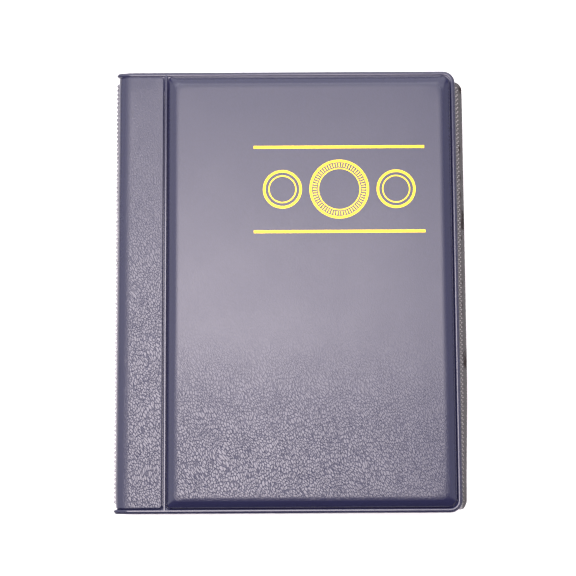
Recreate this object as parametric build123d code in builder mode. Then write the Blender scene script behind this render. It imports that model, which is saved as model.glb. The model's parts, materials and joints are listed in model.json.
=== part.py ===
"""A small coin stock album: padded vinyl covers, a flat spine and ten clear leaves with pockets.

It lies closed on its back cover: +X runs from the spine to the fore edge, +Y to the head of the
pages and +Z from the back cover to the front cover. The origin is the middle of its underside.
"""

import math
import os

from build123d import *

# ---------------------------------------------------------------- driving dimensions, in mm
# The covers
album_height = 145.0  # tail to head
cover_width = 111.6  # the spine's outer face to the covers' fore edge
album_thickness = 20.0  # the back cover's outer face to the front cover's
hinge_from_spine = 15.8  # the spine's outer face to the weld that the cover folds on
corner_radius = 4.0  # the covers' two fore-edge corners
rim_width = 1.8  # welded rim round the covers, outside the padding
bevel_width = 2.5  # sloping edge of the padded panel
panel_corner_radius = 3.2  # the padded panel's corners, where the slope starts

# The layers
skin_thickness = 0.4  # embossed vinyl
lining_thickness = 0.3  # plain vinyl
board_thickness = 1.4  # greyboard in a cover
pad_thickness = 1.1  # foam on the board
card_thickness = 0.5  # card in the spine and in the strips beside it
layer_play = 0.1  # round a board, card or pad, inside its skin
crease_gap = 0.15  # from a crease's axis to the pieces on each side of it

# The spine
weld_strip_proud = 1.0  # how far the clear strip stands out from the spine
weld_strip_band = 0.4  # its plain band, under the teeth
weld_strip_height = 9.0  # across the spine
weld_tooth_pitch = 1.43
weld_strip_end = 3.0  # from the end of the spine to the end of the strip
binding_thickness = 0.6  # strip inside the spine that the leaves are welded to
binding_play = 0.1  # from the binding strip to the folds beside it
tab_length = 1.2  # root of a leaf, up to its crease
tab_thickness = 0.3

# The leaves
leaf_count = 10
leaf_overhang = 2.4  # how far the leaves reach past the covers' fore edge
leaf_head_inset = 3.3  # from the covers' head to the leaves' head
leaf_tail_inset = 0.9  # from the covers' tail to the leaves' tail
leaf_corner_radius = 3.0
sheet_thickness = 0.25  # clear sheet that carries the pockets
film_thickness = 0.2  # clear film of the pockets
pocket_depth = 0.5  # room in an empty pocket
pocket_columns = 2
pocket_rows = 3
binding_margin = 16.0  # from a leaf's crease to its first pocket
fore_margin = 3.0  # from the last pocket to the leaf's fore edge
end_margin = 3.0  # from the pockets to the leaf's head and tail
seam_width = 2.2  # weld between two pockets

# The foil ornament on the front cover
foil_thickness = 0.05
foil_from_head = 40.0  # the cover's head edge to the ornament's middle
foil_from_hinge = 57.0  # the weld to the ornament's middle
foil_rule_length = 56.0
foil_rule_width = 0.9
foil_rule_spacing = 28.0
foil_ring_diameters = (12.0, 18.0, 12.0)
foil_ring_gap = 3.0
foil_line_width = 0.8

# ---------------------------------------------------------------- what follows from them
fold_thickness = skin_thickness + card_thickness + lining_thickness
padded_thickness = lining_thickness + board_thickness + pad_thickness + skin_thickness
overall_width = weld_strip_proud + cover_width + leaf_overhang

spine_x = -overall_width / 2 + weld_strip_proud  # the spine's outer face
crease_x = spine_x + fold_thickness  # the folds between the spine and the strips
hinge_x = spine_x + hinge_from_spine  # the weld that the covers fold on
fore_x = spine_x + cover_width  # the covers' fore edge
leaf_fore_x = fore_x + leaf_overhang

back_inner_z = padded_thickness  # the back cover's inner face
front_inner_z = album_thickness - padded_thickness  # the front cover's inner face
middle_plane = Plane.XY.offset(album_thickness / 2)  # the covers mirror each other in it

rim_thickness = skin_thickness + card_thickness / 2  # welded skin, outside the lining
rim_top = lining_thickness + rim_thickness  # above a cover's inner face
slope = bevel_width / (padded_thickness - rim_top)
wall_across = skin_thickness * math.hypot(1, slope)  # the sloping skin, measured level


def slope_inset(height):
    """How far in from the rim the padded panel's slope is, at a height over the inner face."""
    return slope * (height - rim_top)


def cover_outline(inset):
    """A cover's outline from the weld to the fore edge, drawn this far inside its rim."""
    left, right = hinge_x + crease_gap, fore_x - inset
    with Locations(((left + right) / 2, 0)):
        Rectangle(right - left, album_height - 2 * inset)


def panel_outline(inset):
    """The padded panel's outline, this far inside the foot of its slope."""
    left = hinge_x + 2 * crease_gap + inset
    right = fore_x - rim_width - inset
    height = album_height - 2 * (rim_width + inset)
    radius = max(panel_corner_radius - inset, 0.6)
    with Locations(((left + right) / 2, 0)):
        RectangleRounded(right - left, height, radius)


# ---------------------------------------------------------------- front cover
board_inset = slope_inset(lining_thickness + board_thickness) + wall_across + layer_play
pad_top = padded_thickness - skin_thickness
pad_inset = slope_inset(pad_top) + wall_across + layer_play
board_top_z = front_inner_z + lining_thickness + board_thickness

with BuildPart() as front_lining:
    with BuildSketch(Plane.XY.offset(front_inner_z)) as lining_sketch:
        cover_outline(0)
        fillet(lining_sketch.vertices().group_by(Axis.X)[-1], corner_radius)
    extrude(amount=lining_thickness)

with BuildPart() as front_board:
    with BuildSketch(Plane.XY.offset(front_inner_z + lining_thickness)):
        panel_outline(board_inset)
    extrude(amount=board_thickness)

with BuildPart() as front_pad:
    with BuildSketch(Plane.XY.offset(board_top_z)):
        panel_outline(board_inset)
    with BuildSketch(Plane.XY.offset(front_inner_z + pad_top)):
        panel_outline(pad_inset)
    loft(ruled=True)

with BuildPart() as front_skin:
    with BuildSketch(Plane.XY.offset(front_inner_z + lining_thickness)) as rim_sketch:
        cover_outline(0)
        fillet(rim_sketch.vertices().group_by(Axis.X)[-1], corner_radius)
    extrude(amount=rim_thickness)
    # The padded panel, with a slope all round
    with BuildSketch(Plane.XY.offset(front_inner_z + rim_top)):
        panel_outline(0)
    with BuildSketch(Plane.XY.offset(album_thickness)):
        panel_outline(bevel_width)
    loft(ruled=True)
    # The hollow for the board and the pad
    with BuildSketch(Plane.XY.offset(front_inner_z + lining_thickness)):
        panel_outline(board_inset - layer_play)
    extrude(amount=board_thickness, mode=Mode.SUBTRACT)
    with BuildSketch(Plane.XY.offset(board_top_z)):
        panel_outline(board_inset - layer_play)
    with BuildSketch(Plane.XY.offset(front_inner_z + pad_top)):
        panel_outline(pad_inset - layer_play)
    loft(ruled=True, mode=Mode.SUBTRACT)

with BuildPart() as cover_foil:
    foil_x = hinge_x + foil_from_hinge
    foil_y = album_height / 2 - foil_from_head
    rings_length = sum(foil_ring_diameters) + foil_ring_gap * (len(foil_ring_diameters) - 1)
    with BuildSketch(Plane.XY.offset(album_thickness)):
        with Locations((foil_x, foil_y)):
            with GridLocations(0, foil_rule_spacing, 1, 2):
                Rectangle(foil_rule_length, foil_rule_width)
        ring_left = foil_x - rings_length / 2
        for diameter in foil_ring_diameters:
            with Locations((ring_left + diameter / 2, foil_y)):
                Circle(diameter / 2)
                Circle(diameter / 2 - foil_line_width, mode=Mode.SUBTRACT)
            ring_left += diameter + foil_ring_gap
    extrude(amount=foil_thickness)

# ---------------------------------------------------------------- front strip
card_ends = rim_width + layer_play  # from the strip's head and tail to its card
strip_left = crease_x + crease_gap
strip_right = hinge_x - crease_gap
strip_middle = (strip_left + strip_right) / 2
strip_length = strip_right - strip_left
card_z = front_inner_z + lining_thickness

with BuildPart() as front_strip_lining:
    with BuildSketch(Plane.XY.offset(front_inner_z)):
        with Locations((strip_middle, 0)):
            Rectangle(strip_length, album_height)
    extrude(amount=lining_thickness)

with BuildPart() as front_strip_card:
    with BuildSketch(Plane.XY.offset(card_z)):
        with Locations((strip_middle, 0)):
            Rectangle(strip_length - 2 * card_ends, album_height - 2 * card_ends)
    extrude(amount=card_thickness)

with BuildPart() as front_strip_skin:
    with BuildSketch(Plane.XY.offset(card_z)):
        with Locations((strip_middle, 0)):
            Rectangle(strip_length, album_height)
    extrude(amount=card_thickness + skin_thickness)
    # The hollow for the card
    with BuildSketch(Plane.XY.offset(card_z)):
        with Locations((strip_middle, 0)):
            Rectangle(strip_length - 2 * rim_width, album_height - 2 * rim_width)
    extrude(amount=card_thickness, mode=Mode.SUBTRACT)

# ---------------------------------------------------------------- back cover and back strip
back_pieces = {}
for front_name, front_piece in (
    ("front_skin", front_skin),
    ("front_pad", front_pad),
    ("front_board", front_board),
    ("front_lining", front_lining),
    ("front_strip_skin", front_strip_skin),
    ("front_strip_card", front_strip_card),
    ("front_strip_lining", front_strip_lining),
):
    with BuildPart() as back_piece:
        mirror(front_piece.part, about=middle_plane)
    back_pieces[front_name.replace("front", "back")] = back_piece

# ---------------------------------------------------------------- spine
spine_bottom = back_inner_z + crease_gap
spine_top = front_inner_z - crease_gap
spine_height = spine_top - spine_bottom
spine_middle = (spine_top + spine_bottom) / 2

with BuildPart() as spine_lining:
    with Locations((crease_x - lining_thickness / 2, 0, spine_middle)):
        Box(lining_thickness, album_height, spine_height)

with BuildPart() as spine_card:
    card_middle_x = crease_x - lining_thickness - card_thickness / 2
    with Locations((card_middle_x, 0, spine_middle)):
        Box(card_thickness, album_height - 2 * card_ends, spine_height - 2 * card_ends)

with BuildPart() as spine_skin:
    skin_depth = skin_thickness + card_thickness
    with Locations((spine_x + skin_depth / 2, 0, spine_middle)):
        Box(skin_depth, album_height, spine_height)
    # The hollow for the card
    with Locations((card_middle_x, 0, spine_middle)):
        Box(
            card_thickness,
            album_height - 2 * rim_width,
            spine_height - 2 * rim_width,
            mode=Mode.SUBTRACT,
        )

with BuildPart() as spine_weld_strip:
    strip_span = album_height - 2 * weld_strip_end
    tooth_count = int(strip_span / weld_tooth_pitch)
    band_x = spine_x - weld_strip_band
    tooth_y = -tooth_count * weld_tooth_pitch / 2
    edge = [(spine_x, tooth_y), (band_x, tooth_y)]
    for tooth in range(tooth_count):
        edge.append((spine_x - weld_strip_proud, tooth_y + weld_tooth_pitch / 2))
        tooth_y += weld_tooth_pitch
        edge.append((band_x, tooth_y))
    edge.append((spine_x, tooth_y))
    with BuildSketch(Plane.XY.offset(spine_middle - weld_strip_height / 2)):
        with BuildLine():
            Polyline(*edge, close=True)
        make_face()
    extrude(amount=weld_strip_height)

# ---------------------------------------------------------------- the leaves' binding
leaf_height = album_height - leaf_head_inset - leaf_tail_inset
leaf_middle_y = (leaf_tail_inset - leaf_head_inset) / 2
leaf_pitch = (front_inner_z - back_inner_z) / leaf_count
leaf_thickness = sheet_thickness + pocket_depth + film_thickness
leaf_crease_x = crease_x + binding_thickness + tab_length
leaf_bottoms = [
    back_inner_z + leaf_pitch * (leaf + 0.5) - leaf_thickness / 2 for leaf in range(leaf_count)
]

with BuildPart() as binding_strip:
    binding_height = front_inner_z - back_inner_z - 2 * binding_play
    with Locations((crease_x + binding_thickness / 2, leaf_middle_y, album_thickness / 2)):
        Box(binding_thickness, leaf_height, binding_height)
    # One root for each leaf, ending just short of its crease
    tab_reach = tab_length - crease_gap
    for leaf_bottom in leaf_bottoms:
        tab_z = leaf_bottom + sheet_thickness / 2
        with Locations((crease_x + binding_thickness + tab_reach / 2, leaf_middle_y, tab_z)):
            Box(tab_reach, leaf_height, tab_thickness)

# ---------------------------------------------------------------- the leaves
pocket_room_x = leaf_fore_x - leaf_crease_x - binding_margin - fore_margin
pocket_pitch_x = (pocket_room_x + seam_width) / pocket_columns
pocket_pitch_y = (leaf_height - 2 * end_margin + seam_width) / pocket_rows
pocket_width = pocket_pitch_x - seam_width
pocket_height = pocket_pitch_y - seam_width
pockets_x = leaf_crease_x + binding_margin + pocket_room_x / 2

sheet_left = leaf_crease_x + crease_gap + tab_thickness / 4
sheet_length = leaf_fore_x - sheet_left
film_left = leaf_crease_x + binding_margin - seam_width
film_length = leaf_fore_x - film_left

leaf_pieces = {}
for number, leaf_bottom in enumerate(reversed(leaf_bottoms), start=1):
    film_z = leaf_bottom + sheet_thickness

    with BuildPart() as sheet:
        with BuildSketch(Plane.XY.offset(leaf_bottom)) as sheet_sketch:
            with Locations(((sheet_left + leaf_fore_x) / 2, leaf_middle_y)):
                Rectangle(sheet_length, leaf_height)
            fillet(sheet_sketch.vertices().group_by(Axis.X)[-1], leaf_corner_radius)
        extrude(amount=sheet_thickness)

    with BuildPart() as pockets:
        with BuildSketch(Plane.XY.offset(film_z)) as film_sketch:
            with Locations(((film_left + leaf_fore_x) / 2, leaf_middle_y)):
                Rectangle(film_length, leaf_height)
            fillet(film_sketch.vertices().group_by(Axis.X)[-1], leaf_corner_radius)
        extrude(amount=film_thickness)
        # The raised front of each pocket
        with BuildSketch(Plane.XY.offset(film_z)):
            with Locations((pockets_x, leaf_middle_y)):
                with GridLocations(pocket_pitch_x, pocket_pitch_y, pocket_columns, pocket_rows):
                    Rectangle(pocket_width, pocket_height)
        extrude(amount=pocket_depth + film_thickness)
        # The room in each pocket, open at its head end
        inner_width = pocket_width - 2 * film_thickness
        with BuildSketch(Plane.XY.offset(film_z)):
            with Locations((pockets_x, leaf_middle_y + film_thickness / 2)):
                with GridLocations(pocket_pitch_x, pocket_pitch_y, pocket_columns, pocket_rows):
                    Rectangle(inner_width, pocket_height - film_thickness)
        extrude(amount=pocket_depth, mode=Mode.SUBTRACT)

    leaf_pieces[f"leaf_{number:02d}_sheet"] = sheet
    leaf_pieces[f"leaf_{number:02d}_pockets"] = pockets

# ---------------------------------------------------------------- one file for each piece
pieces = {
    "front_skin": front_skin,
    "front_pad": front_pad,
    "front_board": front_board,
    "front_lining": front_lining,
    "cover_foil": cover_foil,
    "front_strip_skin": front_strip_skin,
    "front_strip_card": front_strip_card,
    "front_strip_lining": front_strip_lining,
    "spine_skin": spine_skin,
    "spine_card": spine_card,
    "spine_lining": spine_lining,
    "spine_weld_strip": spine_weld_strip,
    "binding_strip": binding_strip,
    **back_pieces,
    **leaf_pieces,
}
os.makedirs("parts", exist_ok=True)
for piece_name, piece in pieces.items():
    piece.part.label = piece_name
    export_step(piece.part, f"parts/{piece_name}.step")
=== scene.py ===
import json
import math

import bmesh
import bpy
import numpy as np
from bpy.props import (
    FloatProperty,
    FloatVectorProperty,
    IntProperty,
    PointerProperty,
)
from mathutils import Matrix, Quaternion, Vector

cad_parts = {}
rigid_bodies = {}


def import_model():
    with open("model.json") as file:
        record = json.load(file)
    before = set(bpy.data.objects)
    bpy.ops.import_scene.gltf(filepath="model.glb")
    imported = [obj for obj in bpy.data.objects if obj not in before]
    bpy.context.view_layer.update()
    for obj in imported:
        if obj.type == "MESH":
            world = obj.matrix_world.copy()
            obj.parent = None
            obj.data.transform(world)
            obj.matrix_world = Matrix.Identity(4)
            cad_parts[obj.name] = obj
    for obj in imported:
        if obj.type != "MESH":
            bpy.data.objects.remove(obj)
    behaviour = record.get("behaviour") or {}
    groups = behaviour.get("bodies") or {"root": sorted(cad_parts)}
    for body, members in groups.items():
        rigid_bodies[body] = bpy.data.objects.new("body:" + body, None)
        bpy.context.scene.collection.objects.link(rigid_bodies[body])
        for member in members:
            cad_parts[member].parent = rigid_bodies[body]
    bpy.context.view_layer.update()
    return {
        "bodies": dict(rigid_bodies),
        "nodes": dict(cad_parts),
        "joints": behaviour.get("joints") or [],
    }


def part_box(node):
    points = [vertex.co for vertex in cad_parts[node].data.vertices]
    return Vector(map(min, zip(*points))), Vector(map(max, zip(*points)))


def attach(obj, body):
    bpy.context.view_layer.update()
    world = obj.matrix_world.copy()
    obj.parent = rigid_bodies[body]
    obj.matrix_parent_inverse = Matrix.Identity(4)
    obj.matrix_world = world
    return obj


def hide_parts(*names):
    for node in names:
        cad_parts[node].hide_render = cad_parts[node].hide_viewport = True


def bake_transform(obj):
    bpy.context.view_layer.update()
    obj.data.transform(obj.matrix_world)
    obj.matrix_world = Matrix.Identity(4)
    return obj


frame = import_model()

bl_info = {
    "name": "Coin stock album",
    "version": (1, 0, 0),
    "blender": (4, 5, 0),
    "location": "View3D > Sidebar > Coin album",
    "description": "Finishes a small padded vinyl coin album: skins, linings, leaves, weld strip and foil",
    "category": "Object",
}

MM = 0.001

# ------------------------------------------------------------------ places read from the frame
joint_at = {j["name"]: Vector(j["pos_m"]) for j in frame["joints"]}
skin_low, skin_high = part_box("front_skin")
strip_low, strip_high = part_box("front_strip_skin")
lining_low, lining_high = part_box("front_lining")
spine_low, spine_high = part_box("spine_skin")
strip_tooth_low, strip_tooth_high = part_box("spine_weld_strip")
binding_low, binding_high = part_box("binding_strip")
foil_low, foil_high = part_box("cover_foil")

SPINE_X = spine_low.x  # the spine's outer face
FORE_X = skin_high.x  # the covers' fore edge
END_Y = skin_high.y  # the covers' head, and with a minus sign their tail
TOP_Z = skin_high.z  # the front cover's outer face
STRIP_Z = strip_high.z  # the front strip's outer face
INNER_Z = lining_low.z  # the front cover's inner face
LINING_Z = lining_high.z  # between the lining and the skin
MIDDLE_Z = TOP_Z / 2
WELD_X = joint_at["front_cover_hinge"].x
FOLD_X = joint_at["front_fold"].x
LEAF_COUNT = sum(1 for name in frame["bodies"] if name.startswith("leaf_"))

# ------------------------------------------------------------------ shared numbers
PVC_IOR = 1.53
BY_RIM = 2.6 * MM  # from an edge to the end of the finest grid lines, over the rim
BY_BEVEL = 6.5 * MM  # from an edge to the end of the fine grid lines, over the bevel
NO_EDGE = -1.0  # a left edge far away, for outlines that have none on the spine's side
FOLD_CLEAR = 0.6 * MM  # from the end of the fold's rounding to the end of its bend
PAD_CORNER = 1.6 * MM


# ------------------------------------------------------------------ sizes and colours
def length(name, text, millimetres):
    """A size property, shown in the scene's units."""
    return FloatProperty(
        name=name, description=text, default=millimetres * MM, unit="LENGTH", precision=5
    )


def colour(name, text, code):
    """A colour property from an sRGB hex code."""
    return FloatVectorProperty(
        name=name, description=text, default=linear(code), subtype="COLOR", size=3, min=0, max=1
    )


def linear(code):
    """The linear red, green and blue of an sRGB hex code."""
    parts = [int(code[i : i + 2], 16) / 255 for i in (1, 3, 5)]
    return tuple(p / 12.92 if p <= 0.04045 else ((p + 0.055) / 1.055) ** 2.4 for p in parts)


def angle(name, text, degrees):
    """An angle property."""
    return FloatProperty(
        name=name, description=text, default=math.radians(degrees), subtype="ANGLE"
    )


def amount(name, text, value):
    """A plain number property."""
    return FloatProperty(name=name, description=text, default=value)


class AlbumCoverSizes(bpy.types.PropertyGroup):
    corner_radius: length("Corner radius", "Rounding of the two fore-edge corners", 4.0)
    fold_height: length("Fold height", "Rounding on to the spine, measured up the spine", 3.0)
    fold_width: length("Fold width", "Rounding on to the spine, measured across the strip", 4.6)
    rim_width: length("Rim width", "Welded rim outside the padding", 1.65)
    rim_drop: length("Rim drop", "How far the rim lies below the strip", 0.25)
    rim_middle: length("Rim middle", "From the rim's edge to the crest of its bead", 0.98)
    rim_ear: length("Rim ear", "How far the stiff rim stands out where it folds round the spine", 0.95)
    bead_height: length("Bead height", "Raised bead that the weld bar leaves", 0.26)
    bead_width: length("Bead width", "Half width of the bead", 0.46)
    groove_depth: length("Groove depth", "Pressed line beside the bead", 0.4)
    groove_width: length("Groove width", "Half width of the pressed line", 0.14)
    bevel_width: length("Bevel width", "Rounded slope at the edge of the padded panel", 4.4)
    panel_radius: length("Panel radius", "Rounding of the padded panel's corners", 2.8)
    strip_radius: length("Strip radius", "Rounding of the strip's corners at the hinge weld", 0.9)
    weld_groove: length("Hinge groove", "From the hinge weld's middle to its grooves", 0.66)
    skin_thickness: length("Skin thickness", "Embossed vinyl", 0.4)


class AlbumLeafSizes(bpy.types.PropertyGroup):
    corner_radius: length("Corner radius", "Rounding of the leaves' fore corners", 3.0)
    sheet_thickness: length("Sheet thickness", "Clear sheet that carries the pockets", 0.2)
    film_thickness: length("Film thickness", "Clear film of the pockets", 0.14)
    puff: length("Pocket puff", "How far an empty pocket stands open", 0.42)
    ripple: length("Ripple", "Slow waves of the soft sheet", 0.1)
    droop: length("Droop", "How far the stiff fore margin hangs", 0.32)
    slant: length("Slant", "How much narrower the leaves are cut at the tail", 0.9)
    columns: IntProperty(name="Columns", description="Pockets side by side", default=2, min=1)
    rows: IntProperty(name="Rows", description="Pockets from head to tail", default=3, min=1)
    seam: length("Seam", "Weld between two pockets", 2.2)
    fore_margin: length("Fore margin", "Last pocket to the leaf's fore edge", 3.0)
    end_margin: length("End margin", "Pockets to the leaf's head and tail", 3.0)
    notch: length("Thumb notch", "Radius of the notch in each pocket's mouth", 7.0)
    mouth: length("Mouth", "Open slit above each pocket", 1.2)
    uneven: length("Uneven", "How much the leaves' fore edges differ", 0.5)
    dot_pitch: length("Dot pitch", "Spacing of the dots in a weld seam", 1.43)
    dot_size: length("Dot size", "Half width of a weld dot", 0.34)


class AlbumTrimSizes(bpy.types.PropertyGroup):
    tooth_pitch: length("Tooth pitch", "Spacing of the teeth on the clear weld strip", 1.43)
    tooth_radius: length("Tooth radius", "Half width of a tooth", 0.6)
    band: length("Band", "Thickness of the strip under its teeth", 0.4)
    foil_thickness: length("Foil thickness", "Stamped foil over the skin", 0.03)
    rule_width: length("Rule width", "Straight lines of foil", 0.9)
    ring_width: length("Ring width", "Foil rings", 0.8)
    reed_count: IntProperty(
        name="Reeds", description="Short strokes inside the large ring", default=60, min=3
    )


class AlbumColours(bpy.types.PropertyGroup):
    vinyl: colour("Vinyl", "Embossed soft PVC of the covers", "#1D1D35")
    lining: colour("Lining", "Plain soft PVC inside the covers", "#1D1D38")
    foil: colour("Foil", "Hot-stamped foil", "#C3A634")
    clear: colour("Clear PVC", "Sheet and film of the leaves", "#F0EEF1")
    # Painted shade: a dark tint for the leaves' welded fore margins, where the stacked clear film looks
    # dark
    margin_shade_tint: colour("Painted margin shade", "Welded fore margin of the leaves", "#2E2928")
    dots: colour("Pressed PVC", "Dots of the leaves' welds", "#A8A2A2")
    knurl: colour("Knurled PVC", "Clear parts of the toothed strip", "#3C3C44")
    milk: colour("Whitened PVC", "Milky parts of the toothed strip", "#7E7E86")
    board: colour("Greyboard", "Board and card inside the covers", "#8E8A80")
    foam: colour("Foam", "Pad under the skin", "#E6E4DA")
    floor: colour("Floor", "Plain pale floor", "#F7F7F5")


class AlbumStageSettings(bpy.types.PropertyGroup):
    elevation: angle("Elevation", "The camera's height angle", 83.8)
    roll: angle("Roll", "The camera's turn about its own axis", 0.3)
    distance: length("Distance", "The camera to the front cover", 441.5)
    lens: amount("Lens", "Focal length in millimetres", 85.0)
    overhead: amount("Overhead", "Glow of the panel overhead", 11.8)
    canopy: amount("Canopy", "Glow of the wide sheet over it", 2.5)
    head: amount("Head", "Glow of the card beyond the head", 2.2)
    spine_side: amount("Spine side", "Glow of the left card", 1.8)
    fore_side: amount("Fore side", "Glow of the right card", 1.0)
    world: amount("Surroundings", "Dim grey all round", 0.1)


# ------------------------------------------------------------------ node helpers
def add_node(tree, kind, settings=None, links=None):
    """Adds a node, sets its properties and inputs, and links outputs into its inputs."""
    node = tree.nodes.new(kind)
    for key, value in (settings or {}).items():
        if isinstance(key, str) and hasattr(node, key):
            setattr(node, key, value)
        else:
            node.inputs[key].default_value = value
    for key, output in (links or {}).items():
        tree.links.new(output, node.inputs[key])
    return node


def rgba(value):
    return (*value[:3], 1.0)


def start_material(name):
    """An empty node material, its tree and the coordinates of the object that wears it."""
    material = bpy.data.materials.new(name)
    material.use_nodes = True
    tree = material.node_tree
    tree.nodes.clear()
    return material, tree, add_node(tree, "ShaderNodeTexCoord").outputs["Object"]


def finish_material(tree, settings, links=None):
    """Ends a material in one surface shader."""
    shader = add_node(tree, "ShaderNodeBsdfPrincipled", settings, links)
    add_node(tree, "ShaderNodeOutputMaterial", None, {"Surface": shader.outputs["BSDF"]})


def noise(tree, place, scale, detail, settings=None):
    """A noise texture over the given coordinates."""
    looks = {"Scale": scale, "Detail": detail, **(settings or {})}
    return add_node(tree, "ShaderNodeTexNoise", looks, {"Vector": place})


def spread(tree, value, low, high, settings=None):
    """Carries a value over to another range."""
    looks = {"To Min": low, "To Max": high, **(settings or {})}
    return add_node(tree, "ShaderNodeMapRange", looks, {"Value": value}).outputs["Result"]


def maths(tree, operation, one, two, three=None):
    """A sum or product of node outputs, where a plain number is a fixed value."""
    given = {k: v for k, v in enumerate((one, two, three)) if v is not None}
    fixed = {k: v for k, v in given.items() if isinstance(v, float)}
    linked = {k: v for k, v in given.items() if k not in fixed}
    node = add_node(tree, "ShaderNodeMath", {"operation": operation, **fixed}, linked)
    return node.outputs["Value"]


def relief(tree, height, strength, depth_mm):
    """The surface's direction over a relief this deep."""
    looks = {"Strength": strength, "Distance": depth_mm * MM}
    return add_node(tree, "ShaderNodeBump", looks, {"Height": height}).outputs["Normal"]


def mask(tree, name):
    """A value that the mesh carries at each of its points."""
    looks = {"attribute_name": name, "attribute_type": "GEOMETRY"}
    return add_node(tree, "ShaderNodeAttribute", looks).outputs["Fac"]


def tinted(tree, base, tone):
    """A base colour multiplied by a tone."""
    looks = {"data_type": "RGBA", "blend_type": "MULTIPLY", "Factor": 1.0, 6: rgba(base)}
    return add_node(tree, "ShaderNodeMix", looks, {7: tone}).outputs[2]


def embossed_vinyl(name, base, grain_mm, depth_mm, roughness, crease_matt):
    """Soft PVC embossed by a pebble-grain roller: low cushions split by fine creases.
    The creases break up the highlight, and the welded rims, which the bar has ironed, stay smooth."""
    material, tree, place = start_material(name)
    cell = grain_mm * MM
    # The roller's grain leans across the cover and is longer than it is wide
    lean = add_node(
        tree, "ShaderNodeMapping",
        {"vector_type": "TEXTURE", "Rotation": (0, 0, math.radians(25)), "Scale": (1.0, 2.1, 1.0)},
        {"Vector": place},
    )
    drift = noise(tree, place, 0.06 / cell, 1.0)
    bend = add_node(
        tree, "ShaderNodeVectorMath", {"operation": "MULTIPLY_ADD", 1: (cell * 6,) * 3},
        {0: drift.outputs["Color"], 2: lean.outputs["Vector"]},
    ).outputs["Vector"]
    pebble = add_node(
        tree, "ShaderNodeTexVoronoi",
        {"feature": "DISTANCE_TO_EDGE", "Scale": 1 / cell, "Randomness": 0.9}, {"Vector": bend},
    )
    cushion = spread(
        tree, pebble.outputs["Distance"], 0.0, 1.0,
        {"interpolation_type": "SMOOTHSTEP", "From Max": 0.13},
    )
    worm = noise(tree, bend, 1.5 / cell, 1.0, {"Roughness": 0.5}).outputs["Fac"]
    height = maths(tree, "MULTIPLY_ADD", worm, 0.2, cushion)
    grain = mask(tree, "grain")
    normal = relief(tree, maths(tree, "MULTIPLY", height, grain), 1.0, depth_mm)
    # Handling polishes some patches a little more than others, and the creases stay matt
    patches = noise(tree, place, 28.0, 3.0).outputs["Fac"]
    polish = spread(tree, patches, roughness - 0.05, roughness + 0.06)
    ironed = spread(tree, grain, -0.16, 0.0, {"From Max": 0.12})
    matt = spread(tree, height, -0.08, crease_matt, {"From Min": 1.0, "From Max": 0.1})
    matt_grain = maths(tree, "MULTIPLY_ADD", matt, grain, ironed)
    # Painted shade: the base colour is darker where the relief lies low, in the creases, than on the
    # cushions
    tone = spread(tree, worm, 0.85, 1.1, {"From Min": 0.2, "From Max": 0.7})
    finish_material(
        tree, {"IOR": PVC_IOR},
        {"Base Color": tinted(tree, base, tone), "Roughness": maths(tree, "ADD", polish, matt_grain),
         "Normal": normal},
    )
    return material


def clear_pvc(name, base, roughness, haze_mm, clearness=1.0):
    """Calendered clear PVC with a slow orange peel, darkened along its welded fore margin by a painted
    shade.
    """
    material, tree, place = start_material(name)
    peel = noise(tree, place, 1 / (haze_mm * MM), 2.0).outputs["Fac"]
    margin = mask(tree, "margin")
    # Painted shade: the margin mask mixes a dark tint into the film's colour and lowers its transmission
    margin_shade_tint = rgba(bpy.context.scene.album_colours.margin_shade_tint)
    shade = add_node(
        tree, "ShaderNodeMix", {"data_type": "RGBA", 6: rgba(base), 7: margin_shade_tint}, {"Factor": margin}
    )
    finish_material(
        tree, {"IOR": PVC_IOR},
        {"Base Color": shade.outputs[2],
         "Roughness": spread(tree, peel, roughness * 0.6, roughness * 1.4),
         "Transmission Weight": spread(tree, margin, clearness, 0.25 * clearness),
         "Normal": relief(tree, peel, 0.5, 0.05)},
    )
    return material


def knurled_pvc(name, dark, milky):
    """Clear PVC crushed by a toothed weld bar: milky where it has whitened."""
    material, tree, place = start_material(name)
    cloud = noise(tree, place, 1 / (1.2 * MM), 4.0).outputs["Fac"]
    milk = add_node(tree, "ShaderNodeValToRGB", None, {"Fac": cloud})
    for stop, position, tone in zip(milk.color_ramp.elements, (0.3, 0.7), (dark, milky)):
        stop.position = position
        stop.color = rgba(tone)
    finish_material(
        tree, {"IOR": PVC_IOR, "Transmission Weight": 0.4, "Roughness": 0.2},
        {"Base Color": milk.outputs["Color"], "Normal": relief(tree, cloud, 0.6, 0.08)},
    )
    return material


def stamped_foil(name, base):
    """Hot-stamped metal foil: bright, and dulled by the vinyl's grain that it was pressed into."""
    material, tree, place = start_material(name)
    grain = noise(tree, place, 1 / (0.7 * MM), 3.0).outputs["Fac"]
    finish_material(
        tree, {"Base Color": rgba(base), "Metallic": 1.0},
        {"Roughness": spread(tree, grain, 0.32, 0.5), "Normal": relief(tree, grain, 0.5, 0.04)},
    )
    return material


def pulp_board(name, base):
    """Recycled board: matt, with grey and brown fibres rolled flat."""
    material, tree, place = start_material(name)
    fibres = noise(tree, place, 1 / (0.9 * MM), 6.0, {"Roughness": 0.7}).outputs["Fac"]
    tone = spread(tree, fibres, 0.75, 1.15)
    finish_material(
        tree, {"Roughness": 0.85},
        {"Base Color": tinted(tree, base, tone), "Normal": relief(tree, fibres, 0.4, 0.05)},
    )
    return material


def cell_foam(name, base):
    """Thin polyurethane foam: pale, matt and pitted with open cells."""
    material, tree, place = start_material(name)
    cells = add_node(tree, "ShaderNodeTexVoronoi", {"Scale": 1 / (0.6 * MM)}, {"Vector": place})
    pits = cells.outputs["Distance"]
    finish_material(
        # Painted shade: the base colour is darker in the pits of the open cells
        tree, {"Roughness": 0.9},
        {"Base Color": tinted(tree, base, spread(tree, pits, 0.8, 1.0)),
         "Normal": relief(tree, pits, 0.8, 0.15)},
    )
    return material


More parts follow.
